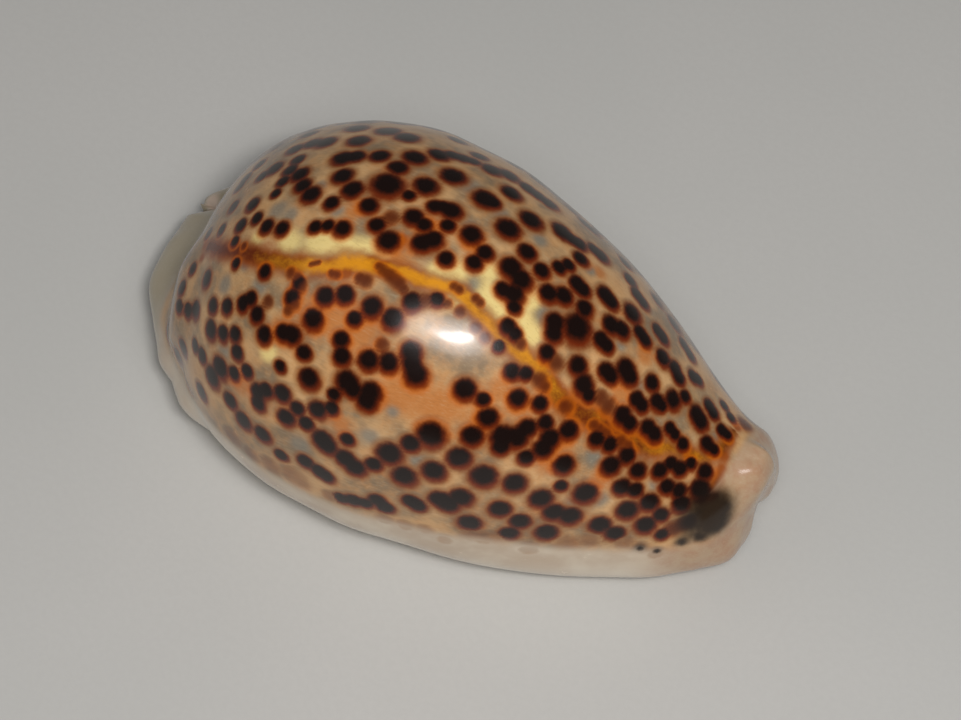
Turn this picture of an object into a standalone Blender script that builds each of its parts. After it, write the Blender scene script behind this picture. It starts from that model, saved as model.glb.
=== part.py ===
"""Panther cowrie shell resting on its base.

Metres, +Z up. The canal (anterior) end points to +X, the spire (posterior) end to -X,
the outer lip lies on the -Y side and the inner, columellar lip on the +Y side.
The shell is one grown piece: a hollow egg whose last whorl rolls in along the base
and leaves a long toothed slit, with a canal notch at each end.
"""
import math

import bmesh
import bpy
import numpy as np
from mathutils import Matrix, Vector

MM = 0.001

# Body, in millimetres, against the distance x along the shell.
BACK_X = -30.4          # wall of the spire end, above its canal
FRONT_X = 32.4          # tip of the canal end, above its canal
BACK_ROUND = 5.0        # length over which the spire end closes
FRONT_ROUND = 3.0       # length over which the canal end closes
BACK_POLE_Z = 9.6
FRONT_POLE_Z = 10.2
HALF_WIDTH = [(-30.4, 12.2), (-27, 13.0), (-23, 15.9), (-17, 18.7), (-10, 20.0), (-4, 20.0),
              (3, 18.7), (10, 17.0), (17, 14.2), (23, 11.1), (26, 9.6), (29, 8.0), (32.4, 7.1)]
TOP = [(-30.4, 19.4), (-29.2, 20.9), (-27, 22.2), (-23, 26.8), (-17, 31.0), (-10, 33.3),
       (-4, 33.4), (3, 32.3), (10, 29.4), (17, 24.8), (23, 19.6), (27, 16.2), (30, 14.2), (32.2, 13.3)]
BASE = [(-30.4, 0.4), (-27, 0.8), (-23, 0.1), (-17, -0.6), (-8, -0.8), (8, -0.8), (15, -0.5), (20, 0.0),
        (24, 0.5), (27, 1.0), (30, 2.0), (32.2, 3.4)]
MIDDLE = [(-30.4, 2.6), (-27, 0.6), (-20, -0.6), (-8, -0.8), (6, -0.7), (18, -0.1),
          (26, 0.2), (29, 1.0), (32.4, 1.8)]
MARGIN = [(-30.4, 0.40), (-10, 0.34), (10, 0.30), (20, 0.25), (32.2, 0.30)]
BACK_POWER = 2.06       # fullness of the back's cross section
BASE_POWER = 2.7        # fullness of the base's cross section
LEAN = 1.0              # the crown leans to the outer lip's side by this much
LEAN_HEIGHT = 22.0

# Slit between the lips.
SLIT_Y = [(-30.4, 4.9), (-25, 3.2), (-18, 1.2), (-8, -1.0), (0, -1.6), (10, -1.6), (20, -1.0),
          (28, 0.5), (32.2, 2.2)]
SLIT_HALF = [(-30.4, 1.0), (-25, 1.5), (-10, 1.9), (3, 2.5), (12, 3.2), (22, 3.25), (28, 2.6), (32.2, 1.6)]
SLIT_OFFSET_SHARE = 0.55    # most that the slit leaves the middle, against the half width
SLIT_WIDTH_SHARE = 0.30     # most that the slit is wide, against the body
SLIT_BACK_X = -30.0
SLIT_FRONT_X = 31.9
LIP_RISE = 1.3          # the base climbs by this much towards the slit
LIP_REACH = 4.5         # over this width
LIP_RISE_DEPTH = 8.0    # and less where the base is shallower than this
LIP_ROWS = [(-0.35, 0.9, 0.04), (-0.20, 2.1, 0.12), (0.40, 3.4, 0.35)]   # inwards, up, along
HEADROOM = 5.5          # where the roof is lower than this over the lips, they are lower too
TOOTH_DEPTH = 0.45
TOOTH_RIDGE = 0.28      # the teeth run out over the base as ridges this deep
TOOTH_SHARE = (0.3, 1.0, 0.9, 0.4)                      # from the lip's edge inwards
RIDGE_SHARE = {-1: (1.0, 0.9, 0.35), 1: (1.0, 0.6)}     # outer lip, inner lip
TOOTH_FIRST_X = -27.0
TOOTH_LAST_X = 28.5

# Where the lips are drawn out past the body: the canal beside them, the box that is
# picked, how far it moves, and how far the neighbours follow along x, y and z.
BACK_CANAL = (4.9, 1.4)         # middle and half width
FRONT_CANAL = (2.4, 2.2)
LIP_PULLS = [
    (BACK_CANAL, ((-36, -28.4), (-5.6, 3.0), (0, 6.5)), (-5.6, 0.0, -0.8), (5.5, 9.0, 5.5)),
    (BACK_CANAL, ((-36, -22.0), (-15.5, -11.5), (0, 6.0)), (-1.7, -1.1, 0.0), (4.0, 4.5, 5.0)),
    (BACK_CANAL, ((-36, -28.8), (5.4, 7.4), (3.2, 7.5)), (-5.4, -0.9, 0.0), (4.0, 3.2, 4.5)),
    (FRONT_CANAL, ((30, 36), (-3.0, 0.4), (0, 5.5)), (1.0, -0.3, -1.4), (4.0, 4.0, 4.0)),
    (FRONT_CANAL, ((30, 36), (4.2, 6.8), (0, 6.5)), (0.9, 0.1, -1.2), (3.5, 3.5, 4.0)),
]
CANAL_FILL = 0.25       # how much of each pull the canal's own middle follows
CANAL_FLARE = 0.25      # the canals' walls lean back by this much a row
DRAWN_OUT = 3.0         # a lip moved by this much is wholly drawn out
DRAWN_OUT_RISE = 0.4    # share of the lips' height that is left there

# Inside of the body whorl.
ROOM_BACK_X = -27.5
ROOM_FRONT_X = 29.5
ROOM_HALF_WIDTH = [(-27.5, 2.0), (-26.5, 6.0), (-24, 10.5), (-18, 15.4), (-10, 17.4), (-2, 17.2),
                   (8, 14.9), (16, 11.4), (22, 7.4), (26, 4.2), (29.5, 2.4)]
ROOM_TOP = [(-27.5, 9.0), (-26.5, 15.0), (-24, 21.5), (-18, 27.9), (-10, 31.1), (-2, 31.0),
            (8, 28.0), (16, 22.4), (22, 16.2), (26, 11.5), (29.5, 8.6)]
ROOM_SILL = 0.4         # the floor lies this far above the inner edges of the lips
ROOM_LEDGE = 0.4        # and starts this far out from the slit
ROOM_SHIFT = -0.2       # the inner whorls fill more of the columellar side
ROOM_MARGIN = 0.32
ROOM_POWER = 2.15
ROOM_CENTRING = 6.0     # where it is this much wider than the slit, it is centred on the body
LEAST_ROOM_SIDE = 0.5   # beside the slit
LEAST_ROOM_HEIGHT = 1.0
STEEPEST_SILL = 0.98

# Mesh layout: rings stand across the length, columns run along it.
END_RINGS = 5
MIDDLE_RINGS = 54
BACK_END_LENGTH = 1.8   # the rings crowd together over these lengths
FRONT_END_LENGTH = 1.4
BASE_COLUMNS = 10
BACK_COLUMNS = 30
LIP_CROWDING = 1.4      # the base's columns stand closer together beside the slit
COLUMNS = 2 + 2 * BASE_COLUMNS + BACK_COLUMNS
SLIT_END_RING = 3       # the slit starts this many rings in from each pole
ROOM_STEPS = 6
WELD = 0.001
NUMBERING = Vector((1.0, 0.137, 0.0371))

SHELL_COLOUR = (0.62, 0.52, 0.38, 1.0)
SHELL_ROUGHNESS = 0.22


def smooth(t):
    t = min(max(t, 0.0), 1.0)
    return t * t * (3.0 - 2.0 * t)


def soft(t):
    """The same easing as smooth, over an array."""
    t = np.clip(t, 0, 1)
    return t * t * (3 - 2 * t)


def signed_power(value, power):
    return math.copysign(abs(value) ** power, value)


def curve(points, x):
    """Height at x of the smooth curve through the points, without overshoot."""
    xs = [p[0] for p in points]
    ys = [p[1] for p in points]
    x = min(max(x, xs[0]), xs[-1])
    steps = [(ys[i + 1] - ys[i]) / (xs[i + 1] - xs[i]) for i in range(len(xs) - 1)]
    slopes = [steps[0]]
    for before, after in zip(steps, steps[1:]):
        slopes.append(0.0 if before * after <= 0 else 2 * before * after / (before + after))
    slopes.append(steps[-1])
    i = max(j for j in range(len(xs) - 1) if xs[j] <= x)
    span = xs[i + 1] - xs[i]
    t = (x - xs[i]) / span
    return (ys[i] * (1 + 2 * t) * (1 - t) ** 2 + slopes[i] * span * t * (1 - t) ** 2
            + ys[i + 1] * t * t * (3 - 2 * t) + slopes[i + 1] * span * t * t * (t - 1))


def ring_stations():
    """Places of the rings along the shell, closer together where the ends close."""
    shares = [(j / (END_RINGS + 1)) ** 2 for j in range(1, END_RINGS + 1)]
    stations = [BACK_X + BACK_END_LENGTH * share for share in shares]
    stations += list(np.linspace(BACK_X + BACK_END_LENGTH, FRONT_X - FRONT_END_LENGTH, MIDDLE_RINGS))
    stations += [FRONT_X - FRONT_END_LENGTH * share for share in reversed(shares)]
    return stations


def closing(x):
    """Share of the full section that is left at x, falling to nothing at both ends."""
    back = min((x - BACK_X) / BACK_ROUND, 1.0)
    front = min((FRONT_X - x) / FRONT_ROUND, 1.0)
    return math.sqrt((1 - (1 - back) ** 2) * (1 - (1 - front) ** 2))


def section(x):
    """Middle, half width, margin height, top and base of the body at x."""
    share = closing(x)
    pole = BACK_POLE_Z if x < 0 else FRONT_POLE_Z
    top = pole + (curve(TOP, x) - pole) * share
    base = pole - (pole - curve(BASE, x)) * share
    margin = base + (top - base) * curve(MARGIN, x)
    return curve(MIDDLE, x), curve(HALF_WIDTH, x) * share, margin, top, base


def slit(x):
    """Middle and half width of the slit at x."""
    middle, half = section(x)[:2]
    room = SLIT_OFFSET_SHARE * half
    offset = min(max(curve(SLIT_Y, x) - middle, -room), room)
    return middle + offset, min(curve(SLIT_HALF, x), SLIT_WIDTH_SHARE * half)


def body_point(x, column):
    """Outer surface: column 0 runs along the slit, the next ones up the outer lip's side."""
    middle, half, margin, top, base = section(x)
    slit_y, slit_half = slit(x)
    slit_sides = {0: 0.0, 1: -slit_half, COLUMNS - 1: slit_half}
    if column in slit_sides:
        y = slit_y + slit_sides[column]
        share = max(0.0, 1 - abs((y - middle) / half) ** BASE_POWER)
        z = margin - (margin - base) * share ** (1 / BASE_POWER)
    elif column <= BASE_COLUMNS or column >= COLUMNS - BASE_COLUMNS:
        side = -1 if column <= BASE_COLUMNS else 1
        step = (column - 1) if side < 0 else (COLUMNS - 1 - column)
        lip = slit_y + side * slit_half
        turn = math.acos(signed_power(side * (lip - middle) / half, BASE_POWER / 2))
        angle = turn * (1 - (step / BASE_COLUMNS) ** LIP_CROWDING)
        y = middle + side * half * signed_power(math.cos(angle), 2 / BASE_POWER)
        z = margin - (margin - base) * signed_power(math.sin(angle), 2 / BASE_POWER)
    else:
        step = column - 1 - BASE_COLUMNS
        angle = math.pi * (1 - step / BACK_COLUMNS)
        y = middle + half * signed_power(math.cos(angle), 2 / BACK_POWER)
        z = margin + (top - margin) * signed_power(math.sin(angle), 2 / BACK_POWER)
        y -= LEAN * min(max(z - margin, 0.0) / LEAN_HEIGHT, 1.0) ** 2
    if z < margin:
        away = abs(y - slit_y) - slit_half
        depth_share = min((margin - base) / LIP_RISE_DEPTH, 1.0)
        z += LIP_RISE * smooth(1 - away / LIP_REACH) * depth_share ** 2
    return x, y, z


def pull(points, picked, move, reach, share):
    """Move the picked points, and carry their neighbours along with a smooth falloff."""
    gaps = (points[:, None, :] - points[picked][None, :, :]) / np.array(reach)
    nearest = np.sqrt((gaps ** 2).sum(axis=2)).min(axis=1)
    weight = soft(1 - nearest) * share
    return points + weight[:, None] * np.array(move)


def shape_lips(points):
    """The lips run out past the body at both ends and stand on each side of a canal."""
    for (canal_y, canal_half), place, move, reach in LIP_PULLS:
        x, y, z = points.T
        (x_low, x_high), (y_low, y_high), (z_low, z_high) = place
        picked = (x > x_low) & (x < x_high) & (y > y_low) & (y < y_high) & (z > z_low) & (z < z_high)
        side = 1 if y_low + y_high > 2 * canal_y else -1
        away = side * (y - canal_y) / canal_half
        share = CANAL_FILL * soft(1 + away) + (1 - CANAL_FILL) * soft(away)
        points = pull(points, picked, move, reach, share)
    return points


def room_x(x):
    """The inside is a little shorter than the slit, so its rings stand closer together."""
    share = (x - SLIT_BACK_X) / (SLIT_FRONT_X - SLIT_BACK_X)
    return ROOM_BACK_X + share * (ROOM_FRONT_X - ROOM_BACK_X)


def room_point(x, side, step, floor):
    """Wall of the inside at x, from the slit's inner edge (step 0) up to the middle of the roof."""
    slit_y, slit_half = slit(x)
    half = max(curve(ROOM_HALF_WIDTH, x), slit_half + LEAST_ROOM_SIDE)
    top = max(curve(ROOM_TOP, x), floor + LEAST_ROOM_HEIGHT)
    centring = smooth((half - slit_half) / ROOM_CENTRING)
    middle = slit_y + (curve(MIDDLE, x) + ROOM_SHIFT - slit_y) * centring
    margin = floor + (top - floor) * ROOM_MARGIN
    lip = slit_y + side * (slit_half + ROOM_LEDGE)
    reach = min(max(side * (lip - middle) / half, -STEEPEST_SILL), STEEPEST_SILL)
    turn = math.acos(signed_power(reach, ROOM_POWER / 2))
    angle = -turn + (turn + math.pi / 2) * step / ROOM_STEPS
    y = middle + side * half * signed_power(math.cos(angle), 2 / ROOM_POWER)
    height = (margin - floor) if angle < 0 else (top - margin)
    return Vector((x, y, margin + height * signed_power(math.sin(angle), 2 / ROOM_POWER)))


def lip_point(edge, x, side, row):
    """Inner wall of a lip, a row further in from the lip's edge."""
    drawn_out = smooth(abs(edge.x - x) / DRAWN_OUT)
    shift, rise, along = LIP_ROWS[row - 1]
    headroom = max(curve(ROOM_TOP, room_x(x)) - edge.z, 0.0) / HEADROOM
    rise *= (1 - (1 - DRAWN_OUT_RISE) * drawn_out) * min(headroom, 1.0)
    shift += drawn_out * (CANAL_FLARE * row - shift)
    return Vector((edge.x + (room_x(x) - edge.x) * along, edge.y + side * shift, edge.z + rise))


def tooth(ring, side, x):
    """Teeth stand on every other ring: +1 on a tooth, -1 in the gap beside it."""
    if not TOOTH_FIRST_X < x < TOOTH_LAST_X:
        return 0.0
    return 1.0 if (ring % 2 == 0) == (side < 0) else -1.0


def globe(ring_count):
    """Globe with its poles on the shell's length, whose vertices know their ring and column."""
    bm = bmesh.new()
    lay_down = Matrix.Rotation(math.radians(-90), 4, "Y")
    bmesh.ops.create_uvsphere(bm, u_segments=COLUMNS, v_segments=ring_count + 1, radius=1.0, matrix=lay_down)
    ring_of = bm.verts.layers.int.new("ring")
    column_of = bm.verts.layers.int.new("column")
    row_of = bm.verts.layers.int.new("row")
    for vert in bm.verts:
        across = math.acos(max(-1.0, min(1.0, -vert.co.x)))
        around = math.atan2(-vert.co.y, -vert.co.z) / (2 * math.pi)
        vert[ring_of] = round(across * (ring_count + 1) / math.pi)
        on_a_pole = vert[ring_of] in (0, ring_count + 1)
        vert[column_of] = 0 if on_a_pole else round(around * COLUMNS) % COLUMNS
    return bm, ring_of, column_of, row_of


def grow_slit(bm, ring_of, column_of, row_of, ring_count):
    """Grow the strip between the lips inwards, row by row, as the lips' walls and the room."""
    slit_rings = range(SLIT_END_RING, ring_count + 2 - SLIT_END_RING)
    slit_columns = (COLUMNS - 1, 0, 1)
    strip = [face for face in bm.faces
             if all(v[ring_of] in slit_rings and v[column_of] in slit_columns for v in face.verts)]
    for row in range(1, len(LIP_ROWS) + ROOM_STEPS + 1):
        grown = bmesh.ops.extrude_face_region(bm, geom=strip)["geom"]
        bmesh.ops.delete(bm, geom=[face for face in strip if face.is_valid], context="FACES")
        strip = [item for item in grown if isinstance(item, bmesh.types.BMFace)]
        for item in grown:
            if isinstance(item, bmesh.types.BMVert):
                item[row_of] = row


def place_skin(verts, ring_of, column_of, stations):
    """Set the outer surface, and return where each ring and column of it lies."""
    poles = {0: (BACK_X, curve(MIDDLE, BACK_X), BACK_POLE_Z),
             len(stations) + 1: (FRONT_X, curve(MIDDLE, FRONT_X), FRONT_POLE_Z)}
    places = []
    for vert in verts:
        pole = poles.get(vert[ring_of])
        places.append(pole or body_point(stations[vert[ring_of] - 1], vert[column_of]))
    edges = {}
    for vert, place in zip(verts, shape_lips(np.array(places))):
        vert.co = Vector(place)
        edges[vert[ring_of], vert[column_of]] = vert.co.copy()
    return edges


def raise_ridges(verts, ring_of, column_of, stations):
    """The teeth run out over the base, which is worn flat where the shell rests."""
    for vert in verts:
        ring, column = vert[ring_of], vert[column_of]
        x = stations[min(max(ring, 1), len(stations)) - 1]
        side = -1 if column < COLUMNS - column else 1
        out = min(column, COLUMNS - column)
        if 0 < out <= len(RIDGE_SHARE[side]):
            vert.co.z -= TOOTH_RIDGE * RIDGE_SHARE[side][out - 1] * tooth(ring, side, x)
        if out == 1:
            vert.co.y -= side * TOOTH_DEPTH * TOOTH_SHARE[0] * tooth(ring, side, x)
        vert.co.z = max(vert.co.z, 0.0)


def place_inside(verts, ring_of, column_of, row_of, stations, edges):
    """Set the lips' inner walls with their teeth, and the room behind them."""
    lip_rows = len(LIP_ROWS)
    for vert in verts:
        ring, column, row = vert[ring_of], vert[column_of], vert[row_of]
        side = {1: -1, COLUMNS - 1: 1}.get(column, 0)
        x = stations[ring - 1]
        if row <= lip_rows:
            vert.co = lip_point(edges[ring, column], x, side, row)
            vert.co.y -= side * TOOTH_DEPTH * TOOTH_SHARE[row] * tooth(ring, side, x)
        else:
            outer_sill = lip_point(edges[ring, 1], x, -1, lip_rows)
            inner_sill = lip_point(edges[ring, COLUMNS - 1], x, 1, lip_rows)
            floor = max(outer_sill.z, inner_sill.z) + ROOM_SILL
            step = row - lip_rows - 0.5 if side else ROOM_STEPS
            vert.co = room_point(room_x(x), side or 1, step, floor)


def settle(bm):
    """Weld the room's end walls where they meet, halve the faces along their short
    diagonals, and number vertices and faces along a slanted line, the same in every run."""
    bmesh.ops.remove_doubles(bm, verts=bm.verts, dist=WELD)
    bmesh.ops.triangulate(bm, faces=bm.faces, quad_method="SHORT_EDGE")
    bm.verts.sort(key=lambda vert: vert.co.dot(NUMBERING))
    bm.faces.sort(key=lambda face: face.calc_center_median().dot(NUMBERING))


def shell_mesh():
    stations = ring_stations()
    bm, ring_of, column_of, row_of = globe(len(stations))
    grow_slit(bm, ring_of, column_of, row_of, len(stations))
    skin = [vert for vert in bm.verts if vert[row_of] == 0]
    inside = [vert for vert in bm.verts if vert[row_of] > 0]
    edges = place_skin(skin, ring_of, column_of, stations)
    place_inside(inside, ring_of, column_of, row_of, stations, edges)
    raise_ridges(skin, ring_of, column_of, stations)

    settle(bm)
    low = [min(vert.co[axis] for vert in bm.verts) for axis in range(2)]
    high = [max(vert.co[axis] for vert in bm.verts) for axis in range(2)]
    centre = Vector(((low[0] + high[0]) / 2, (low[1] + high[1]) / 2, 0.0))
    bmesh.ops.translate(bm, vec=-centre, verts=bm.verts)
    bmesh.ops.scale(bm, vec=(MM, MM, MM), verts=bm.verts)
    bmesh.ops.recalc_face_normals(bm, faces=bm.faces)
    for face in bm.faces:
        face.smooth = True
    mesh = bpy.data.meshes.new("shell")
    bm.to_mesh(mesh)
    bm.free()
    return mesh


def shell_material():
    material = bpy.data.materials.new("cowrie_glaze")
    material.use_nodes = True
    surface = material.node_tree.nodes["Principled BSDF"]
    surface.inputs["Base Color"].default_value = SHELL_COLOUR
    surface.inputs["Roughness"].default_value = SHELL_ROUGHNESS
    surface.inputs["Metallic"].default_value = 0.0
    return material


def main():
    for item in list(bpy.data.objects):
        bpy.data.objects.remove(item, do_unlink=True)
    collection = bpy.data.collections.new("panther_cowrie")
    bpy.context.scene.collection.children.link(collection)
    shell = bpy.data.objects.new("shell", shell_mesh())
    shell.data.materials.append(shell_material())
    collection.objects.link(shell)


if __name__ == "__main__":
    main()
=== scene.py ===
import math
import random

import bmesh
import bpy
import numpy as np
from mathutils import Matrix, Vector
from mathutils.bvhtree import BVHTree
from mathutils.kdtree import KDTree


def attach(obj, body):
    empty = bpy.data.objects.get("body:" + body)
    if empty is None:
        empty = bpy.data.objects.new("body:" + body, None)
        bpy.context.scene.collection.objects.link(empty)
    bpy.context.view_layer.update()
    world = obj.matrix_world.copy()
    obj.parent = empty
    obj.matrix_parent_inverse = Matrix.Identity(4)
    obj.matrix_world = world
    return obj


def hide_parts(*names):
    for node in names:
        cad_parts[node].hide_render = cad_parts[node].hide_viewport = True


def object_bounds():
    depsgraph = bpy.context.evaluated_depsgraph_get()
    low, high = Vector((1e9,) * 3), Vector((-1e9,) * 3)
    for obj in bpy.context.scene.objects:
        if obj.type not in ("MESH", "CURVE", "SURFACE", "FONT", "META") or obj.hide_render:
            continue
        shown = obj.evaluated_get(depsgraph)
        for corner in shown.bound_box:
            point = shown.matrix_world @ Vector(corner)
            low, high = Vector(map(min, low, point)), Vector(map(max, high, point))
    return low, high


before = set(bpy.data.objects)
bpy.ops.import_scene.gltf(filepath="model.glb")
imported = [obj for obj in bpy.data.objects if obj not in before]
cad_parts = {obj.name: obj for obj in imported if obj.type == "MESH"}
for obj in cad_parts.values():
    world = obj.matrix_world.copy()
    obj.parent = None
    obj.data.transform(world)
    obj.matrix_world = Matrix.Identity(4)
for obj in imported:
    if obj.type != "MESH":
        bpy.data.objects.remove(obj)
cad_low, cad_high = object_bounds()

MM = 0.001

# Body of the shell in millimetres, against the distance x along it, from the wide end at the back.
BACK_X = -30.4
FRONT_X = 32.4
BACK_ROUND = 5.0  # length of the rounding
FRONT_ROUND = 3.0
BACK_POLE_Z = 9.6
FRONT_POLE_Z = 10.2
HALF_WIDTH = [(-30.4, 12.2), (-27, 13.0), (-23, 15.9), (-17, 18.7), (-10, 20.0), (-4, 20.0),
              (3, 18.7), (10, 17.0), (17, 14.2), (23, 11.1), (26, 9.6), (29, 8.0), (32.4, 7.1)]
TOP = [(-30.4, 19.4), (-29.2, 20.9), (-27, 22.2), (-23, 26.8), (-17, 31.0), (-10, 33.3),
       (-4, 33.4), (3, 32.3), (10, 29.4), (17, 24.8), (23, 19.6), (27, 16.2), (30, 14.2), (32.2, 13.3)]
BASE = [(-30.4, 0.4), (-27, 0.8), (-23, 0.1), (-17, -0.6), (-8, -0.8), (8, -0.8), (15, -0.5), (20, 0.0),
        (24, 0.5), (27, 1.0), (30, 2.0), (32.2, 3.4)]
MIDDLE = [(-30.4, 2.6), (-27, 0.6), (-20, -0.6), (-8, -0.8), (6, -0.7), (18, -0.1),
          (26, 0.2), (29, 1.0), (32.4, 1.8)]
MARGIN = [(-30.4, 0.40), (-10, 0.34), (10, 0.30), (20, 0.25), (32.2, 0.30)]  # base (0) to top (1)
BEND_BLEND = 1.2
BACK_POWER = 2.06  # 2 is an ellipse, and more is squarer
BASE_POWER = 2.7
LEAN = 1.0  # of the crown, to the outer lip's side
LEAN_HEIGHT = 22.0

# Slit between the lips, the lips' inner walls and their teeth.
SLIT_Y = [(-30.4, 4.9), (-25, 3.2), (-18, 1.2), (-8, -1.0), (0, -1.6), (10, -1.6), (20, -1.0),
          (28, 0.5), (32.2, 2.2)]
SLIT_HALF = [(-30.4, 1.0), (-25, 1.5), (-10, 1.9), (3, 2.5), (12, 3.2), (22, 3.25), (28, 2.6), (32.2, 1.6)]
SLIT_OFFSET_SHARE = 0.55  # at most, in the body's half widths
SLIT_WIDTH_SHARE = 0.30
SLIT_BACK_X = -30.0
SLIT_FRONT_X = 31.9
LIP_RISE = 1.3  # of the lips' edges above the base's line
LIP_REACH = 4.5
LIP_RISE_DEPTH = 8.0
LIP_STEPS = 3  # from a lip's edge to its inner rim
LIP_SHIFT = [(0, 0.0), (1, -0.35), (2, -0.20), (3, 0.40)]
LIP_HEIGHT = [(0, 0.0), (1, 0.9), (2, 2.1), (3, 3.4)]
LIP_ALONG = [(0, 0.0), (1, 0.04), (2, 0.12), (3, 0.35)]
HEADROOM = 5.5  # above an edge whose wall stands in full
TOOTH_DEPTH = 0.45
TOOTH_RIDGE = 0.28
TOOTH_SHARE = [(0, 0.3), (1, 1.0), (2, 0.9), (3, 0.4)]  # against the steps
TOOTH_SPACING = 1.1245  # from a tooth to the gap beside it
TOOTH_START_X = -28.6
TOOTH_FIRST_X = -24.5
TOOTH_LAST_X = 28.5
TOOTH_FADE = 2.0
GAP_SHARPNESS = 3.0
RIDGE_REACH = {-1: 5.2, 1: 3.4}  # outer lip, inner lip
TOOTH_EDGE_REACH = 1.2

# The lips are drawn out at both ends. A canal or fold is its place across and its half width.
BACK_CANAL = (4.9, 1.4)
FRONT_CANAL = (2.4, 2.2)
FRONT_FOLD = (4.8, 1.2)  # swelling on top of the narrow tip
# A pull takes one side of a canal: the box of points it picks, their move, and the reach around.
LIP_PULLS = [
    (BACK_CANAL, ((-31, -28.6), (-5.8, 3.0), (2.8, 6.4)), (-5.6, 0.0, -0.8), (5.5, 9.0, 5.5)),
    (BACK_CANAL, ((-26.6, -22.3), (-16.4, -11.7), (2.1, 4.9)), (-1.5, -0.9, 0.0), (4.0, 4.5, 5.0)),
    (BACK_CANAL, ((-30.3, -29.1), (5.3, 7.1), (3.6, 7.4)), (-4.9, -1.4, -0.6), (4.0, 3.4, 4.5)),
    (BACK_CANAL, ((-30.4, -28.2), (-12.0, -9.2), (3.4, 7.2)), (-0.9, -0.5, 0.0), (3.0, 4.0, 5.0)),
    (BACK_CANAL, ((-29.5, -26.0), (-12.0, -7.5), (11.0, 17.0)), (-0.8, -0.5, 0.0), (4.0, 5.0, 6.0)),
    (FRONT_CANAL, ((31.0, 31.5), (-2.8, 0.3), (3.9, 5.5)), (1.0, -0.3, -1.4), (4.0, 4.0, 4.0)),
    (FRONT_CANAL, ((31.0, 31.8), (4.2, 6.8), (4.0, 6.5)), (0.7, 0.0, -1.2), (3.5, 3.5, 4.0)),
    (FRONT_FOLD, ((31.2, 32.3), (1.6, 4.0), (9.0, 12.5)), (0.5, 0.2, 1.35), (3.0, 3.2, 4.0)),
]
CANAL_FILL = 0.25  # share of a pull that the canal itself follows
CANAL_FLARE = 0.25  # lean of a drawn-out lip's wall at each step
DRAWN_OUT = 3.0  # pull that counts in full
DRAWN_OUT_RISE = 0.4  # share of its height that the wall keeps

# Inside of the body whorl.
ROOM_BACK_X = -27.5
ROOM_FRONT_X = 29.5
ROOM_HALF_WIDTH = [(-27.5, 2.0), (-26.5, 6.0), (-24, 10.5), (-18, 15.4), (-10, 17.4), (-2, 17.2),
                   (8, 14.9), (16, 11.4), (22, 7.4), (26, 4.2), (29.5, 2.4)]
ROOM_TOP = [(-27.5, 9.0), (-26.5, 15.0), (-24, 21.5), (-18, 27.9), (-10, 31.1), (-2, 31.0),
            (8, 28.0), (16, 22.4), (22, 16.2), (26, 11.5), (29.5, 8.6)]
ROOM_SILL = 0.4  # floor above the lips' rims
ROOM_LEDGE = 0.4
SILL_CLIMB = 0.25  # floor's slope past a place, towards the wide end
SILL_CLIMB_X = -25.0
ROOM_SHIFT = -0.2
ROOM_MARGIN = 0.32  # floor (0) to roof (1)
ROOM_POWER = 2.15
ROOM_CENTRING = 6.0  # width beside the slit
LEAST_ROOM_SIDE = 0.5
LEAST_ROOM_HEIGHT = 1.0
STEEPEST_SILL = 0.98

# Fine layout: rings stand across the length, and columns run along it.
END_RINGS = 14
MIDDLE_RINGS = 232
BACK_END_LENGTH = 1.8
FRONT_END_LENGTH = 1.4
BASE_COLUMNS = 30
BACK_COLUMNS = 218
LIP_CROWDING = 1.4
COLUMNS = 2 + 2 * BASE_COLUMNS + BACK_COLUMNS
SLIT_COLUMNS = (COLUMNS - 1, 0, 1)
LIP_ROWS = 8
ROOM_ROWS = 14
WELD = 0.001 * MM

# Both ends are evened out after the lips are drawn, all but the slit's own edges.
EVENED_BACK_X = -26.0
EVENED_FRONT_X = 31.0
EVENED_COLUMN = 10  # columns away from the slit
EVENING = 0.5
EVENING_PASSES = 6

# Camera, read from the photograph's frame of 961 by 720 pixels.
FRAME_WIDTH = 961
FRAME_HEIGHT = 720
CAMERA_AZIMUTH = 29.5
CAMERA_ELEVATION = 60.0
CAMERA_DISTANCE = 350.0
CAMERA_TARGET = (1.405, 0.795, 12.0)
SENSOR_WIDTH = 36.0
FOCAL_PIXELS = 3497.0
TARGET_LEFT = 13.0  # pixels from the frame's middle
TARGET_ABOVE = 6.0
FURTHEST_IN = 0.8  # share of a pixel's way out, for one that misses the shell
TRIES_IN = 21
MIX_BELOW, MIX_ABOVE, MIX_OUT = 6, 7, 2  # colour sockets of the Mix node

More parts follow.
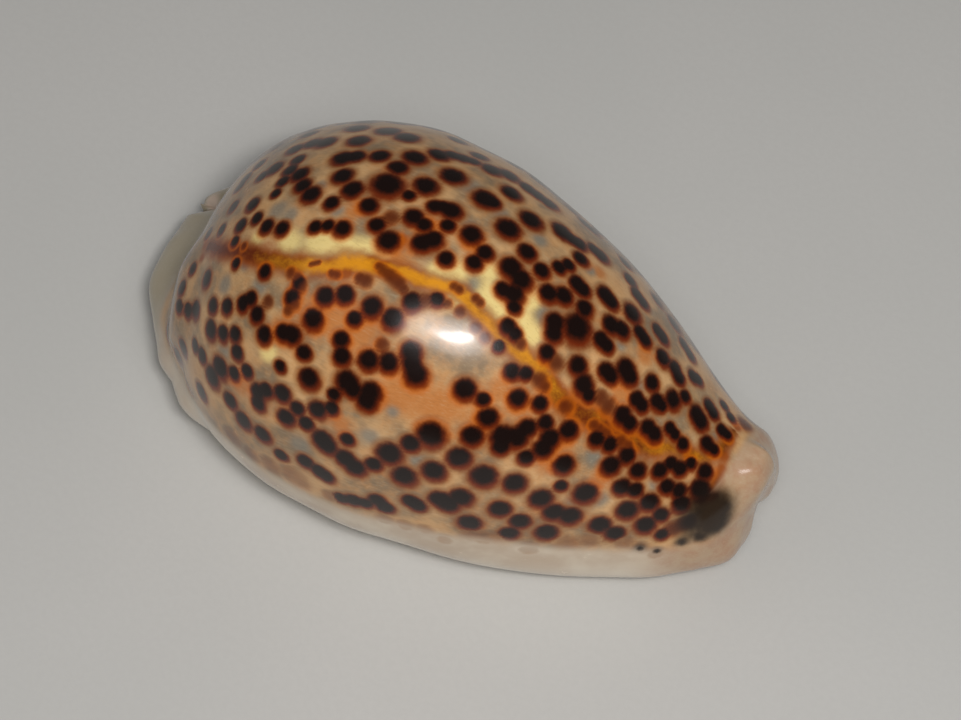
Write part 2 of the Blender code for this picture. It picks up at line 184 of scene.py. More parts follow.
# Spots as they lie in the photograph: across, down and radius, in its pixels.
BLACK_SPOTS = [
    # Wide end, above the mantle line.
    (277, 146, 8), (295, 149, 8.5), (298, 159.5, 7.5), (260, 164, 7), (262, 176, 7), (275, 168, 9),
    (290, 170, 8), (283, 181, 7), (276, 193, 6), (240, 186, 7), (246, 178, 7), (222, 199, 7),
    (234, 206, 7), (253, 204, 8), (209, 233, 6), (222, 229, 6.5), (241, 225, 7.5), (257, 218, 7),
    (267, 226, 8), (282, 228, 8), (235, 241, 6),
    # Wide end, below it.
    (193, 268, 6.5), (207, 278, 8.5), (182, 287, 7.5), (236, 263, 6), (265, 271, 7.5), (299, 283, 7),
    (292, 297, 8), (179, 306, 7), (188, 310, 7.5), (196, 309, 8.5), (213, 305, 8), (227, 306, 8),
    (243, 303, 8), (251, 298, 7.5), (257, 314, 8.5), (211, 329, 9.5), (223, 333, 8), (235, 334, 8),
    (264, 334, 9), (283, 332, 8.5), (292, 334, 9.5), (304, 352, 8), (280, 366, 6.5), (237, 352, 8),
    (234, 373, 7.5), (247, 371, 7.5), (212, 376, 11), (220, 367, 11), (183, 347, 8.5), (178, 355, 8),
    (195, 345, 7), (202, 355, 8), (201, 391, 9), (230, 400, 9), (243, 420, 10), (262, 434, 9.5),
    (258, 392, 9.5), (266, 390, 8), (258, 403, 8.5), (282, 393, 9.5), (286, 417, 9.5), (297, 408, 8),
    (306, 423, 8), (281, 455, 7.5), (305, 461, 9),
    # Crest of the wide half.
    (357, 128, 10), (309, 134, 8), (313, 143, 9), (326, 142, 10), (359, 140.5, 10.5), (388, 131, 11),
    (407, 137, 11), (343, 158, 10.5), (356, 156, 9.5), (380, 155.5, 9.5), (415, 157, 11),
    (439, 154.5, 10), (398, 167, 9.5), (343, 175.5, 10.5), (387.5, 184, 15), (426, 185.5, 11.5),
    (352.5, 189, 10.5), (300, 174, 9.5), (303, 185, 9), (311, 194, 10), (331.5, 202.5, 8),
    (369, 205, 9), (409, 195, 6.5), (435, 206, 8), (315, 226.5, 7), (328, 225, 6.5), (342.5, 228, 8.5),
    (377, 224.5, 8), (388.5, 240, 10.5), (413.5, 216.5, 9.5), (424, 224, 8), (422, 242, 10),
    (433, 239, 10),
    # Crest, middle.
    (457, 140, 8), (453, 155, 8), (463, 158, 8), (473, 161, 7), (479, 156, 8), (453, 175.5, 12),
    (492, 169.5, 10), (509, 175, 10), (485, 198.5, 12), (493, 202, 8), (511, 192.5, 10), (528, 188, 9),
    (538, 195, 9), (549, 203, 9), (531, 219.5, 11.5), (508, 228, 12), (452, 210.5, 10), (444, 207, 8),
    (448, 225, 7.5), (471.5, 234, 10.5), (485, 252, 8.5), (474, 262, 8), (446, 258, 8),
    (527, 251.5, 9.5), (511, 267, 11), (521, 279, 11), (541.5, 270, 8.5), (559, 267, 7.5),
    (568.5, 264.5, 7), (562, 231, 11), (571, 238, 8), (579, 243, 9), (580.5, 258, 8.5), (515, 163, 8),
    (573, 208, 8),
    # Crest of the narrow half.
    (594, 249, 8), (601, 255, 9), (585, 223, 8), (592, 229, 8), (577, 283, 9), (583, 289, 8.5),
    (605, 294, 9.5), (611, 301, 9), (630, 279.5, 8), (637, 294, 8.5), (643, 302, 8), (632, 312.5, 10.5),
    (548.5, 292.5, 9.5), (564, 295, 9.5), (584.5, 308, 9.5), (555, 322, 10), (554, 333, 9),
    (577, 327, 14.5), (611, 324, 10), (622, 329, 9), (601, 339, 8.5), (607, 345, 8), (640, 332, 8),
    (645, 339, 8), (658, 330, 8), (663, 337, 8), (674, 323, 9.5), (625, 262, 8), (657, 300, 8),
    # Beside the mantle line.
    (503, 289, 8), (514, 294, 10), (514.5, 307, 7), (508, 326, 8), (515, 334, 7), (499, 346, 6),
    (547, 352, 8), (578, 365, 9.5), (584, 384, 10), (589, 395, 7), (512, 371, 8), (526, 373, 7),
    # Narrow third.
    (684, 344, 8), (690, 354, 8), (663, 357, 9), (675, 368, 8.5), (679, 377, 8), (626, 369, 11),
    (630, 376, 9), (606, 370, 8.5), (611, 375, 8.5), (652, 382, 8.5), (693, 376, 7.5), (698, 379, 7),
    (637, 399, 8.5), (642, 405, 7.5), (657, 401, 8.5), (662, 406, 6), (673, 399, 9.5), (685, 396, 7),
    (697, 414, 9.5), (701, 421, 9), (709, 405, 7.5), (713, 412, 7.5), (623, 415, 9.5), (630, 423, 8),
    (648, 427, 8.5), (655, 434, 8), (670, 428, 6.5), (675, 434, 6), (597, 438, 8.5), (610, 444, 8),
    (627, 455, 8.5), (683, 443.5, 7), (707, 443, 8), (714, 449, 6), (722, 430, 7), (727, 434, 6),
    (724, 405, 6), (731, 417, 6),
    # Flank, middle.
    (313, 318.5, 10), (325, 295.5, 9), (345, 294, 9), (372, 306, 10), (392.5, 318, 10), (412, 301, 9),
    (437, 299, 7), (354.5, 318, 7.5), (341, 339, 8.5), (342, 356, 9), (368.5, 359.5, 10),
    (388.5, 362, 9.5), (411, 351, 10), (412, 363, 9), (416, 374, 11), (309, 378, 10.5),
    (347, 381, 11.5), (353, 389, 9), (370, 392, 11), (367, 401, 10), (334, 394, 7), (331.5, 408, 7.5),
    (317.5, 409, 9.5), (465, 388.5, 10.5), (483, 399, 7), (488, 417, 10), (518, 397.5, 9),
    (540, 403, 8), (545.5, 422, 8), (527, 427.5, 9.5), (568.5, 429.5, 9.5),
    # Flank, lower.
    (323, 440, 11.5), (327, 445, 10.5), (347, 439, 7.5), (345, 458, 10.5), (355, 467, 10.5),
    (373.5, 464, 8.5), (389, 453, 12.5), (410.5, 443, 9.5), (431, 434, 13.5), (404, 475.5, 12),
    (433.5, 470.5, 11.5), (319, 471, 9), (326, 476, 8.5), (341, 498, 8), (353, 500, 9), (365, 503, 8),
    (377, 500, 9), (385, 507, 9), (411, 501, 9), (417, 505, 9), (440, 499, 11), (448, 504, 11),
    (472, 435.5, 10.5), (459, 457, 11.5), (503, 436, 12), (501, 446, 9), (517, 437, 11),
    (550, 438, 10), (543, 448, 10), (526, 457, 8), (483.5, 475.5, 12.5), (515, 482.5, 11),
    (461, 497, 11.5), (500, 508.5, 10.5), (520, 521, 10), (564, 464, 10), (561, 485.5, 6.5),
    (585.5, 492.5, 11.5), (541, 498, 11), (554, 512, 10.5), (570, 515.5, 11), (546.5, 532, 11),
    (600, 524.5, 10.5), (469.5, 522.5, 11), (509, 533, 9.5),
    # Flank, narrow third.
    (611, 465, 10), (638, 470, 8.5), (660, 470, 8.3), (671, 463, 7), (680, 468, 8), (691, 463, 6),
    (705, 471, 8.5), (622, 486.5, 9), (635.5, 489.5, 8), (667, 486, 8), (679, 490, 8), (700, 488, 10),
    (649.5, 502, 9.5), (681, 503.5, 9), (627.5, 509.5, 10.5), (661, 514.5, 8), (645.5, 524.5, 10),
    (615, 533, 9.5), (662, 534, 7),
]
BROWN_SPOTS = [
    (268, 301, 5.5), (291, 272, 5), (297, 277, 5), (311, 264, 2.5), (315, 263, 2.5), (319, 262, 2.5),
    (454, 286, 4), (459, 289, 4), (476, 298, 4), (480, 302, 4), (521, 343, 5), (556, 362, 7),
    (540, 380, 7), (545, 386, 5), (601, 397, 7), (608, 405, 8), (594, 424, 5), (600, 429, 5),
    (606, 433, 5), (621, 441, 6), (628, 445, 5), (745, 424, 8), (332, 273, 4), (337, 274, 4),
    (360, 278, 5), (366, 280, 6), (382, 344, 6), (379, 266, 4), (383, 269, 5), (387, 272, 5.5),
    (391, 275, 6), (395, 279, 6), (399, 283, 6), (403, 288, 4.5), (566, 406, 7), (673, 528, 8),
    (682, 524, 7), (688, 521, 6), (391, 217, 7), (244, 246, 4), (301, 285, 6),
    (294, 303, 6), (288, 310, 5), (425, 300, 6), (448, 303, 4), (460, 311, 5), (476, 327, 5), (485, 337, 5),
]
FAINT_SPOTS = [
    (172, 308, 8), (189, 389, 8), (232, 436, 9), (252, 455, 8),
    (270, 465, 10), (294, 476, 12), (301, 482, 8), (330, 496, 7), (470, 536, 9), (483, 538, 11),
    (494, 538, 9), (529, 549, 10), (567, 544, 11), (590, 540, 8.5), (624, 542, 8), (640, 549, 8),
    (655, 554, 8), (385, 520, 8), (405, 526, 8), (425, 530, 7), (445, 540, 8),
]
BLACK = 1.0  # strengths
BROWN = 0.6
FAINT = 0.34

# Clouds of colour under the glaze: across, down and radius, in the photograph's pixels.
WARM_CLOUDS = [
    (325, 315, 22), (360, 330, 24), (400, 395, 26), (440, 408, 26), (300, 262, 14), (547, 465, 13),
    (280, 330, 16), (600, 272, 10), (645, 355, 12), (395, 262, 16), (470, 245, 12), (520, 405, 16),
    (295, 300, 14), (560, 445, 14), (620, 395, 12), (430, 225, 14), (355, 210, 12), (600, 480, 12),
    (480, 420, 16), (340, 425, 12), (500, 390, 14), (240, 385, 14),
]
COOL_CLOUDS = [
    (370, 437, 13), (417, 460, 10), (545, 315, 12), (548, 345, 12), (595, 457, 12), (600, 500, 12),
    (475, 284, 8), (337, 210, 9), (321, 185, 8), (278, 210, 14), (716, 437, 6), (393, 412, 8),
    (470, 185, 16), (500, 212, 12), (540, 240, 10), (400, 185, 9), (290, 215, 10), (245, 265, 8),
    (225, 285, 12), (590, 330, 8), (640, 385, 10), (590, 270, 8), (470, 225, 8), (650, 310, 8),
    (620, 345, 8), (655, 485, 10), (575, 500, 10), (260, 285, 12), (225, 350, 12), (300, 445, 14),
]
PALE_CLOUDS = [
    (258, 238, 10), (290, 243, 15), (318, 244, 17), (345, 246, 17), (368, 250, 14), (305, 271, 6),
    (382, 253, 10), (437, 272, 12), (455, 271, 14), (489, 272, 12), (490, 295, 14), (500, 310, 14),
    (520, 322, 15), (532, 335, 12), (268, 352, 11), (530, 300, 12), (455, 300, 10), (213, 204, 13),
]
AMBER_CLOUDS = [
    (206, 244, 8), (215, 249, 11), (225, 251, 12), (238, 253, 12), (250, 256, 12), (262, 260, 10),
    (274, 259, 9), (284, 262, 8), (300, 268, 7), (295, 290, 9), (202, 258, 6), (291, 302, 7),
    (330, 266, 9), (345, 272, 10), (372, 262, 9), (385, 266, 8), (402, 240, 8),
    (545, 362, 8), (552, 385, 10), (560, 398, 11), (575, 410, 12), (592, 420, 12), (606, 428, 12),
    (622, 434, 12), (638, 443, 10), (655, 449, 9), (690, 455, 8), (712, 452, 7), (728, 440, 8),
    (737, 427, 7), (724, 456, 8), (721, 470, 8), (717, 482, 8), (712, 494, 7),
]
SMOKY_CLOUDS = [
    (706, 509, 26), (720, 508, 24), (693, 522, 17), (715, 524, 17), (700, 536, 10), (682, 542, 9),
    (657, 551, 6), (640, 548, 7),
]

# Mantle line from the wide end on: across, down, half width in pixels, and brown (0) to yellow (1).
MANTLE_LINE = [
    (205, 246, 5.0, 0.08), (229, 250, 6.0, 0.10), (247, 252, 6.5, 0.20), (262, 257, 7.0, 0.32),
    (281, 262, 6.5, 0.50), (303, 264, 7.0, 0.72), (324, 267, 6.5, 0.80), (345, 262, 7.0, 0.92),
    (367, 265, 7.0, 0.90), (388, 269, 5.5, 0.75), (410, 275, 5.5, 0.85), (436, 284, 6.0, 0.95),
    (454, 289, 6.0, 0.90), (470, 303, 5.5, 0.82), (485, 320, 5.5, 0.75), (512, 347, 6.0, 0.78),
    (532, 363, 6.0, 0.70), (548, 379, 6.5, 0.60), (557, 396, 7.0, 0.42), (573, 408, 7.5, 0.34),
    (589, 418, 7.5, 0.30), (607, 426, 7.0, 0.24), (634, 440, 6.5, 0.30), (655, 449, 6.5, 0.50),
    (671, 447, 6.0, 0.50), (685, 453, 5.5, 0.42), (699, 457, 6.0, 0.55), (714, 452, 5.0, 0.42),
    (726, 442, 4.5, 0.40), (735, 427, 4.0, 0.35),
]
LINE_STEP = 1.0  # pixels between its points
LINE_REACH = 4.0  # half widths
LINE_TAPER = 9  # steps of fading at each end

# How the spots lie.
SPOT_REACH = 2.2  # radii
SPOT_BLEND = 4.0  # how sharply touching spots keep their own outlines
HALO_DRIFT = 0.26  # radii that a glow lies nearer the viewer's side
SCATTER_SEED = 11
SCATTER_RADIUS = (0.55, 1.20)
SCATTER_GAP = (1.22, 2.0)  # between two middles, against the sum of their radii
TWIN_CHANCE = 0.004  # of a spot that runs into another one
TWIN_GAP = 0.62
HIDDEN_FACING = 0.10  # a scattered spot's highest cosine towards the camera
LEAST_COVER = 0.22

# Where the coloured back gives way to the pale margin: height against the distance along.
COVER_HEIGHT = [(-29, 8.6), (-24, 8.8), (-15, 10.6), (0, 10.8), (12, 11.0), (20, 9.8), (27, 9.2),
                (31, 9.0)]
COVER_FADE = 3.4
COVER_BACK_X = -29.4
COVER_FRONT_X = 30.5
COVER_END_FADE = 1.5
INNER_SIDE_DROP = 1.6  # lower on the inner lip's side
INNER_SIDE_WIDTH = 6.0

# Noise: size of its lumps in millimetres, detail and roughness.
WIDE_CLOUD = (5.5, 3.0, 0.55)
SMALL_CLOUD = (1.9, 3.0, 0.6)
RAGGED = (0.8, 2.0, 0.6)
FUZZ = (0.22, 2.0, 0.6)
STREAKS = (0.2, 3.0, 0.55)
RIPPLE = (7.0, 2.0, 0.5)
FLOOR_MOTTLE = (60.0, 3.0, 0.5)
FLOOR_GRAIN = (0.7, 2.0, 0.6)
CLOUD_DRIFT = (0.013, 0.021, 0.008)
STREAK_TURN = (0.0, 0.2, 0.14)
STREAK_STRETCH = (0.16, 1.0, 1.0)

# Colours as the eye reads them, from 0 to 255. A blend follows a value from a start to an end.
BLENDS = {
    "ground": ("wide_cloud", (214, 168, 116), (144, 120, 92), (0.36, 0.64)),
    "margin": ("wide_cloud", (204, 182, 158), (222, 206, 184), (0.35, 0.65)),
    "tip_blend": ("small_cloud", (188, 156, 122), (178, 132, 98), (0.35, 0.7)),
    "line_blend": ("yellowness", (104, 38, 4), (228, 150, 26), (0.15, 1.0)),
    "glow_blend": ("warmth", (150, 90, 40), (200, 98, 6), (0.4, 1.1)),
    "core_blend": ("spot_strength", (90, 30, 3), (14, 5, 3), (0.4, 0.95)),
}
# Layers from the lowest up: value followed, colour or blend, share, and the value's start and end
# where they aren't 0 and 1.
BACK_LAYERS = [
    ("small_cloud", (210, 154, 98), 0.55, (0.4, 0.72)),
    ("warm_cloud", (196, 122, 62), 0.88, (0.05, 1.0)),
    ("cool_cloud", (130, 126, 114), 0.8, (0.1, 1.05)),
    ("pale_cloud", (246, 218, 142), 0.94, (0.05, 0.95)),
    # painted shadow: a drab grey beside each spot, on the side away from its glow
    ("painted_spot_shadow", (110, 98, 80), 0.6, None),
    ("streaks", (226, 210, 176), 0.14, (0.5, 0.8)),
    ("streaks", (112, 84, 58), 0.18, (0.5, 0.25)),
    ("amber_cloud", (154, 70, 8), 0.9, (0.05, 0.95)),
    ("line_edge", (148, 68, 8), 0.75, None),
    ("line_middle", "line_blend", 0.95, None),
    ("spot_glow", "glow_blend", 0.85, None),
    ("spot_rim", (112, 32, 0), 0.94, None),
    ("spot_core", "core_blend", 1.0, None),
    ("smoke", (24, 15, 10), 0.97, None),
]
MARGIN_LAYERS = [
    ("height", (234, 224, 208), 0.75, (0.008, 0.002)),
    ("along", "tip_blend", 0.85, (0.024, 0.031)),
    # painted shade: the wide end's drawn-out lip is darkened to grey, as it lies in shade
    ("along", (172, 160, 134), 0.8, (-0.027, -0.031)),
    ("pale", (214, 190, 170), 1.0, (0.1, 0.8)),
    ("streaks", (236, 228, 212), 0.1, (0.5, 0.8)),
]
INSIDE_LAYERS = [("inside", (230, 220, 206), 0.8, None)]
CLOUD_SWELL = 1.1
CLOUD_STIR = 0.6  # noise on the edges of the placed clouds

# Mantle line: noise and fades in its half widths, and noise in its yellowness.
LINE_RAGGED = 1.0
LINE_CLOUDED = 1.6
LINE_NEAR = (0.02, 0.2)
LINE_EDGE = (3.2, 1.0)
LINE_MIDDLE = (1.7, 0.2)
YELLOW_CLOUDED = 0.9
YELLOW_STREAKED = 0.3

# Spots: fades over their squared radii. RIM_END, CORE_START, CORE_END and CORE_SHARE are what a
# spot's strength is multiplied by, and what is added.
EDGE_RAGGED = 0.7
EDGE_FUZZ = 0.15
GLOW_WANDER = 1.3
# Painted shadow beside each spot, on the side away from its glow.
SHADE_SIDE = (0.05, 0.7)
SHADE_NEAR = (3.4, 1.2)
GLOW_FADE = (4.2, 1.1)
PALE_WARMTH = 0.7
RIM_START = 2.5
RIM_END = (1.3, -0.4)
CORE_START = (-1.4, 3.15)
CORE_END = (1.3, -0.95)
CORE_SHARE = (0.3, 0.68)
SPOT_SHOWN = (1.6, 0.5)
FULL_STRENGTH = (0.05, 0.75)
RIM_STRENGTH = (0.1, 1.0)
SMOKE_CLOUDED = 0.35
SMOKE_FULL = (0.06, 0.96)
COVER_FULL = (0.05, 0.9)

# Gloss of the glaze.
ROUGHNESS = 0.25
ROUGHNESS_CLOUDED = 0.12
GLOSS = {"Specular IOR Level": 0.3, "Coat Weight": 0.4, "Coat Roughness": 0.11, "Coat IOR": 1.42}
BUMP_STRENGTH = 0.35
BUMP_FUZZ = 0.08
BUMP_DEPTH = 0.0001

# Plain studio. A light: direction from the shell's middle, distance, width and height, watts, tint.
LIGHTS = {
    "key": ((0.323, -0.351, 0.879), 0.42, (0.12, 0.05), 0.8, (1.0, 0.98, 0.95)),
    "key_veil": ((0.31, -0.365, 0.879), 0.43, (0.26, 0.17), 0.7, (0.97, 0.98, 1.0)),
    "fill": ((-0.7, -0.45, 0.9), 0.9, (0.7, 0.7), 0.22, (0.95, 0.97, 1.0)),
}
LIT_HEIGHT = 0.015
SURROUND_LIGHT = 0.08
FLOOR_SIZE = 6.0
FLOOR_TINTS = ((195, 194, 190), (200, 198, 194))
FLOOR_GRIT = (190, 188, 184)
FLOOR_GRIT_SHARE = 0.2
FLOOR_FADE = (0.3, 0.7)
FLOOR_BUMP = 0.1
FLOOR_ROUGHNESS = 0.6


def soft(t):
    """Ease from 0 to 1."""
    t = np.clip(t, 0, 1)
    return t * t * (3 - 2 * t)


def signed_power(value, power):
    return np.sign(value) * np.abs(value) ** power


def curve(points, x):
    """Heights at x of the smooth curve through the points, without overshoot."""
    xs, ys = np.array(points, float).T
    x = np.clip(x, xs[0], xs[-1])
    spans = np.diff(xs)
    steps = np.diff(ys) / spans
    before, after = steps[:-1], steps[1:]
    same_way = before * after > 0
    slopes = np.zeros(len(xs))
    slopes[0], slopes[-1] = steps[0], steps[-1]
    slopes[1:-1][same_way] = 2 * (before * after)[same_way] / (before + after)[same_way]
    i = np.clip(np.searchsorted(xs, x, side="right") - 1, 0, len(spans) - 1)
    t = (x - xs[i]) / spans[i]
    return (ys[i] * (1 + 2 * t) * (1 - t) ** 2 + slopes[i] * spans[i] * t * (1 - t) ** 2
            + ys[i + 1] * t * t * (3 - 2 * t) + slopes[i + 1] * spans[i] * t * t * (t - 1))


def flowing(points, x):
    """The curve with its bends softened over a short length, so that gloss runs evenly."""
    return (curve(points, x - BEND_BLEND) + 2 * curve(points, x) + curve(points, x + BEND_BLEND)) / 4


def ring_stations():
    """Places of the rings along the shell, closer together where the ends close."""
    shares = (np.arange(1, END_RINGS + 1) / (END_RINGS + 1)) ** 2
    back = BACK_X + BACK_END_LENGTH * shares
    middle = np.linspace(BACK_X + BACK_END_LENGTH, FRONT_X - FRONT_END_LENGTH, MIDDLE_RINGS)
    front = FRONT_X - FRONT_END_LENGTH * shares[::-1]
    return np.concatenate([back, middle, front])


def section(x):
    """Middle, half width, margin height, top and base of the body at x."""
    back = np.minimum((x - BACK_X) / BACK_ROUND, 1.0)
    front = np.minimum((FRONT_X - x) / FRONT_ROUND, 1.0)
    share = np.sqrt((1 - (1 - back) ** 2) * (1 - (1 - front) ** 2))
    pole = np.where(x < 0, BACK_POLE_Z, FRONT_POLE_Z)
    top = pole + (flowing(TOP, x) - pole) * share
    base = pole - (pole - flowing(BASE, x)) * share
    margin = base + (top - base) * flowing(MARGIN, x)
    return flowing(MIDDLE, x), flowing(HALF_WIDTH, x) * share, margin, top, base


def slit(x):
    """Middle and half width of the slit at x."""
    middle, half = section(x)[:2]
    room = SLIT_OFFSET_SHARE * half
    offset = np.clip(curve(SLIT_Y, x) - middle, -room, room)
    return middle + offset, np.minimum(curve(SLIT_HALF, x), SLIT_WIDTH_SHARE * half)


def base_point(x, share_out, side):
    """The base from a lip's edge (0) out to the margin (1)."""
    middle, half, margin, top, base = section(x)
    slit_y, slit_half = slit(x)
    lip = slit_y + side * slit_half
    turn = np.arccos(signed_power(side * (lip - middle) / half, BASE_POWER / 2))
    angle = turn * (1 - share_out ** LIP_CROWDING)
    y = middle + side * half * signed_power(np.cos(angle), 2 / BASE_POWER)
    return y, margin - (margin - base) * signed_power(np.sin(angle), 2 / BASE_POWER)


def back_point(x, angle):
    """The back from the outer margin (pi) over the crown to the inner margin (0)."""
    middle, half, margin, top, base = section(x)
    y = middle + half * signed_power(np.cos(angle), 2 / BACK_POWER)
    z = margin + (top - margin) * signed_power(np.sin(angle), 2 / BACK_POWER)
    return y - LEAN * np.clip((z - margin) / LEAN_HEIGHT, 0, 1) ** 2, z


def skin_points(x):
    """Outer surface by ring and column, from the slit up the outer lip's side and around."""
    middle, half, margin, top, base = section(x)
    slit_y, slit_half = slit(x)
    points = np.zeros((len(x), COLUMNS, 3))
    for column in range(COLUMNS):
        out = min(column, COLUMNS - column)
        side = -1 if column < COLUMNS - column else 1
        if column == 0:
            y = slit_y
            share = np.maximum(0, 1 - np.abs((y - middle) / half) ** BASE_POWER)
            z = margin - (margin - base) * share ** (1 / BASE_POWER)
        elif out <= BASE_COLUMNS:
            y, z = base_point(x, (out - 1) / BASE_COLUMNS, side)
        else:
            y, z = back_point(x, math.pi * (1 - (column - 1 - BASE_COLUMNS) / BACK_COLUMNS))
        away = np.abs(y - slit_y) - slit_half
        depth_share = np.minimum((margin - base) / LIP_RISE_DEPTH, 1.0)
        z = z + np.where(z < margin, LIP_RISE * soft(1 - away / LIP_REACH) * depth_share ** 2, 0)
        points[:, column] = np.stack([x, y, z], axis=1)
    return points


def place_tree(places):
    tree = KDTree(len(places))
    for number, place in enumerate(places):
        tree.insert(place, number)
    tree.balance()
    return tree


def pull(points, picked, move, reach, share):
    """Move the picked points, and carry their neighbours along with a smooth falloff."""
    chosen = points[picked] / reach
    tree = place_tree(chosen)
    nearest = np.ones(len(points))
    low, high = chosen.min(axis=0) - 1, chosen.max(axis=0) + 1
    near = np.flatnonzero(np.all((points / reach > low) & (points / reach < high), axis=1))
    for i in near:
        nearest[i] = tree.find(points[i] / reach)[2]
    weight = soft(1 - nearest) * share
    return points + weight[:, None] * np.array(move)


def shape_lips(points):
    """The lips run out past the body at both ends and stand on each side of a canal."""
    for (canal_y, canal_half), place, move, reach in LIP_PULLS:
        x, y, z = points.T
        (x_low, x_high), (y_low, y_high), (z_low, z_high) = place
        picked = (x > x_low) & (x < x_high) & (y > y_low) & (y < y_high) & (z > z_low) & (z < z_high)
        side = 1 if y_low + y_high > 2 * canal_y else -1
        away = side * (y - canal_y) / canal_half
        share = CANAL_FILL * soft(1 + away) + (1 - CANAL_FILL) * soft(away)
        points = pull(points, picked, move, np.array(reach), share)
    return points


def tooth(x, side):
    """Teeth along a lip: +1 on a tooth, -1 in the gap beside it, none at the ends."""
    phase = (x - TOOTH_START_X) / TOOTH_SPACING + (0 if side < 0 else 1)
    ridge = 1 - 2 * np.abs(np.sin(phase * math.pi / 2)) ** GAP_SHARPNESS
    ends = soft((x - TOOTH_FIRST_X) / TOOTH_FADE + 0.5) * soft((TOOTH_LAST_X - x) / TOOTH_FADE + 0.5)
    return ridge * ends


def raise_ridges(points, x):
    """The teeth run out over the base, which is worn flat where the shell rests."""
    slit_y, slit_half = slit(x)
    for out in range(1, BASE_COLUMNS + 1):
        for side, column in ((-1, out), (1, COLUMNS - out)):
            away = np.abs(points[:, column, 1] - slit_y) - slit_half
            share = soft(1 - away / RIDGE_REACH[side])
            points[:, column, 2] -= TOOTH_RIDGE * share * tooth(x, side)
            sway = TOOTH_DEPTH * curve(TOOTH_SHARE, 0) * soft(1 - away / TOOTH_EDGE_REACH)
            points[:, column, 1] -= side * sway * tooth(x, side)
    points[..., 2] = np.maximum(points[..., 2], 0)


def room_x(x):
    share = (x - SLIT_BACK_X) / (SLIT_FRONT_X - SLIT_BACK_X)
    return ROOM_BACK_X + share * (ROOM_FRONT_X - ROOM_BACK_X)


def lip_points(edge, x, side, step):
    """Inner wall of a lip, from its edge (0) to its inner rim (LIP_STEPS)."""
    drawn_out = soft(np.abs(edge[:, 0] - x) / DRAWN_OUT)
    headroom = np.clip((curve(ROOM_TOP, room_x(x)) - edge[:, 2]) / HEADROOM, 0, 1)
    rise = curve(LIP_HEIGHT, step) * (1 - (1 - DRAWN_OUT_RISE) * drawn_out) * headroom
    shift = curve(LIP_SHIFT, step) * (1 - drawn_out) + CANAL_FLARE * step * drawn_out
    along = edge[:, 0] + (room_x(x) - edge[:, 0]) * curve(LIP_ALONG, step)
    return np.stack([along, edge[:, 1] + side * shift, edge[:, 2] + rise], axis=1)


def room_points(x, side, share, floor):
    """Wall of the inside, from the slit's inner edge (0) up to the middle of the roof (1)."""
    slit_y, slit_half = slit(x)
    half = np.maximum(curve(ROOM_HALF_WIDTH, x), slit_half + LEAST_ROOM_SIDE)
    top = np.maximum(curve(ROOM_TOP, x), floor + LEAST_ROOM_HEIGHT)
    centring = soft((half - slit_half) / ROOM_CENTRING)
    middle = slit_y + (curve(MIDDLE, x) + ROOM_SHIFT - slit_y) * centring
    margin = floor + (top - floor) * ROOM_MARGIN
    lip = slit_y + side * (slit_half + ROOM_LEDGE)
    reach = np.clip(side * (lip - middle) / half, -STEEPEST_SILL, STEEPEST_SILL)
    turn = np.arccos(signed_power(reach, ROOM_POWER / 2))
    angle = -turn + (turn + math.pi / 2) * share
    y = middle + side * half * signed_power(np.cos(angle), 2 / ROOM_POWER)
    height = np.where(angle < 0, margin - floor, top - margin)
    return np.stack([x, y, margin + height * signed_power(np.sin(angle), 2 / ROOM_POWER)], axis=1)


def inside_points(skin, x):
    """Lips' walls and room by row and ring, for the slit's two edges and its middle."""
    edges = {-1: skin[:, 1], 0: skin[:, 0], 1: skin[:, COLUMNS - 1]}
    sills = [lip_points(edges[side], x, side, LIP_STEPS) for side in (-1, 1)]
    floor = np.maximum(sills[0][:, 2], sills[1][:, 2]) + ROOM_SILL
    climbing = x < SILL_CLIMB_X
    floor[climbing] = np.maximum.accumulate(floor[climbing][::-1])[::-1]
    floor += SILL_CLIMB * np.maximum(SILL_CLIMB_X - x, 0)
    rows = []
    for row in range(1, LIP_ROWS + ROOM_ROWS + 1):
        if row <= LIP_ROWS:
            step = LIP_STEPS * row / LIP_ROWS
            walls = {side: lip_points(edges[side], x, side, step) for side in edges}
            for side in (-1, 1):
                walls[side][:, 1] -= side * TOOTH_DEPTH * curve(TOOTH_SHARE, step) * tooth(x, side)
                walls[side][:, 2] -= TOOTH_RIDGE * soft(1 - step) * tooth(x, side)
        else:
            share = (row - LIP_ROWS - 0.5) / ROOM_ROWS
            walls = {side: room_points(room_x(x), side, share, floor) for side in (-1, 1)}
            walls[0] = room_points(room_x(x), 1, 1.0, floor)
        rows.append(walls)
    return rows


def read_mark(mesh, name):
    values = np.zeros(len(mesh.vertices), dtype=np.int32)
    mesh.attributes[name].data.foreach_get("value", values)
    return values


def marked_globe(count, slit_rings):
    """A globe whose points know their ring and column, with the slit's faces selected."""
    bpy.ops.object.select_all(action="DESELECT")
    bpy.ops.mesh.primitive_uv_sphere_add(segments=COLUMNS, ring_count=count + 1, radius=1.0,
                                         rotation=(0, -math.pi / 2, 0))
    shell = bpy.context.object
    shell.name = "cowrie_shell"
    shell.data.name = "cowrie_shell"
    bpy.ops.object.transform_apply(location=False, rotation=True, scale=False)
    bm = bmesh.new()
    bm.from_mesh(shell.data)
    ring_of = bm.verts.layers.int.new("ring")
    column_of = bm.verts.layers.int.new("column")
    bm.verts.layers.int.new("row")
    for vert in bm.verts:
        across = math.acos(max(-1.0, min(1.0, -vert.co.x)))
        around = math.atan2(-vert.co.y, -vert.co.z) / (2 * math.pi)
        vert[ring_of] = round(across * (count + 1) / math.pi)
        vert[column_of] = round(around * COLUMNS) % COLUMNS if 0 < vert[ring_of] <= count else 0
    for face in bm.faces:
        face.select = all(v[ring_of] in slit_rings and v[column_of] in SLIT_COLUMNS for v in face.verts)
    bm.select_flush(True)
    bm.to_mesh(shell.data)
    bm.free()
    return shell


